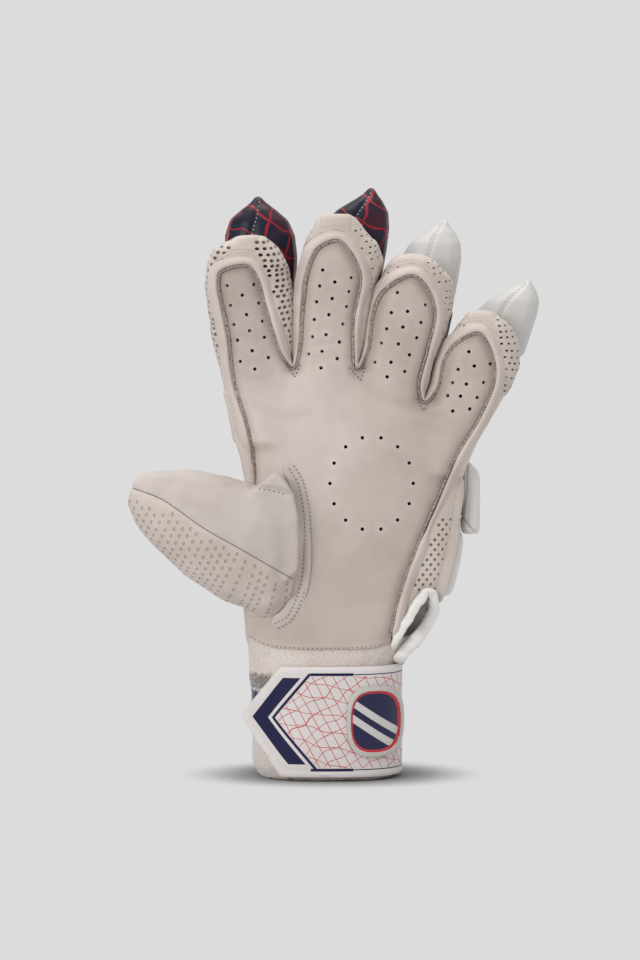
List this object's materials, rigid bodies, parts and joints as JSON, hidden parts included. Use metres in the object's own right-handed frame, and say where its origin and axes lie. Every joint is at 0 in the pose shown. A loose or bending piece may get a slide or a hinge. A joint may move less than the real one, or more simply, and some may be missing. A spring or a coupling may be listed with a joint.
{
  "type": "cricket batting glove",
  "caption": "Left-hand padded batting glove standing on its cuff, with split finger rolls, vented palm, mesh thumb, towelling wristband and a wide wrist strap.",
  "frame": {"origin": "middle of the box round the glove, at the level of the cuff's lower edge", "axes": "+Z from the cuff to the fingertips, -Y the way the palm faces, -X the side of the thumb"},
  "size_m": [0.204, 0.089, 0.2911],
  "materials": {
    "palm_leather": "soft matte",
    "mesh_leather": "perforated matte",
    "white_padding": "coated satin",
    "navy_padding": "coated gloss",
    "towelling": "looped pile",
    "strap": "soft satin",
    "badge": "satin"
  },
  "bodies": {
    "root": {"palm_leather": "palm_leather", "welt": "palm_leather", "thumb_leather": "palm_leather", "thumb_mesh": "mesh_leather", "gusset_index": "mesh_leather", "gusset_middle": "mesh_leather", "gusset_ring": "mesh_leather", "gusset_little": "mesh_leather", "gusset_side": "mesh_leather", "hand_back": "white_padding", "slit_binding": "white_padding", "cap_index": "navy_padding", "roll_index_middle": "white_padding", "roll_index_base": "white_padding", "cap_middle": "navy_padding", "roll_middle_middle": "white_padding", "roll_middle_base": "white_padding", "cap_ring": "white_padding", "roll_ring_middle": "navy_padding", "roll_ring_base": "white_padding", "cap_little": "white_padding", "roll_little_middle": "navy_padding", "hand_roll_1": "white_padding", "hand_roll_2": "white_padding", "hand_roll_3": "white_padding", "hand_roll_4": "white_padding", "thumb_roll_tip": "white_padding", "thumb_roll_base": "white_padding", "side_block_upper": "white_padding", "side_block_lower": "white_padding", "wristband": "towelling", "strap": "strap", "badge": "badge", "cuff_pad": "navy_padding"}
  },
  "joints": []
}
